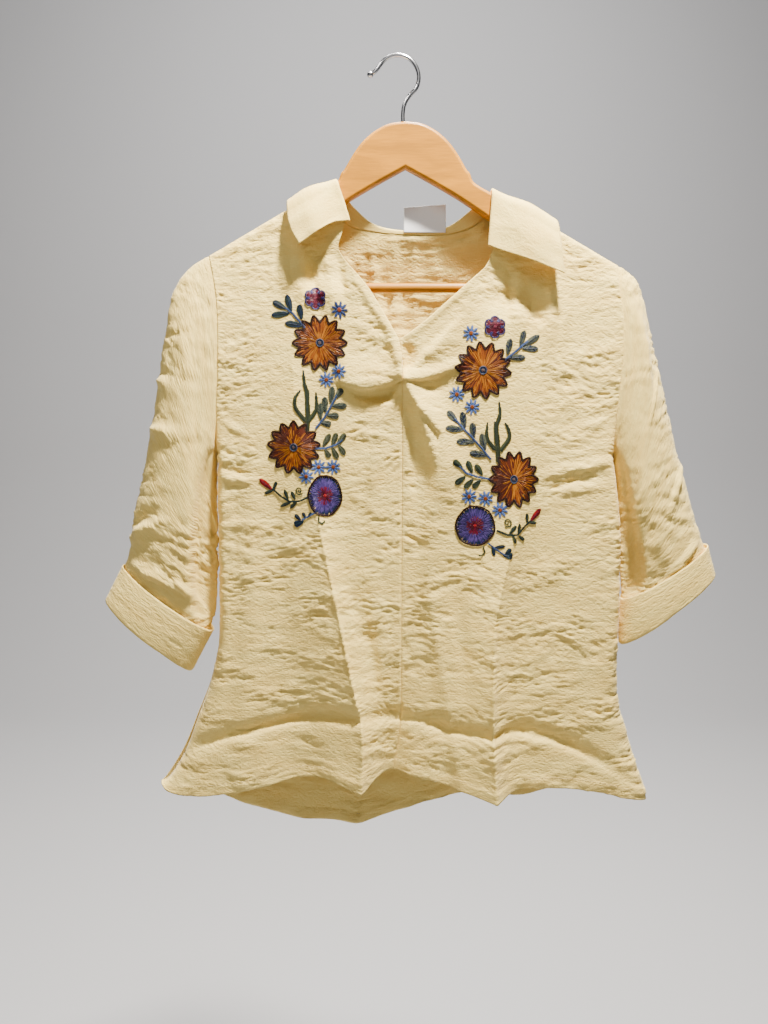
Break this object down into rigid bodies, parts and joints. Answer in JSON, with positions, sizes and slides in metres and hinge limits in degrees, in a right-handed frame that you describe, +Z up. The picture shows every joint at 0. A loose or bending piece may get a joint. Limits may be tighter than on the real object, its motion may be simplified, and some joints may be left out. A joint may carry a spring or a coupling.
{
  "type": "embroidered blouse on a wooden hanger",
  "caption": "Loose crinkle blouse with a V neck, a shirt collar, turned-up elbow sleeves and a longer back hem, hanging on a wooden clothes hanger with a bar.",
  "frame": {"origin": "inner face of the hanger hook's bend, at its top, where it hangs on a rail", "axes": "+Z up along the hanging blouse, +Y from the front of the blouse to its back, +X to the wearer's left"},
  "size_m": [0.6199, 0.0786, 0.7744],
  "materials": {
    "cloth": "matte crinkle weave",
    "label": "satin",
    "hanger_wood": "clear satin lacquer",
    "hook_steel": "polished"
  },
  "bodies": {
    "root": {"front_right": "cloth", "front_left": "cloth", "back": "cloth", "sleeve_right": "cloth", "sleeve_left": "cloth", "cuff_right": "cloth", "cuff_left": "cloth", "collar": "cloth", "label": "label", "hanger_arms": "hanger_wood", "hanger_bar": "hanger_wood", "hanger_hook": "hook_steel"}
  },
  "joints": []
}
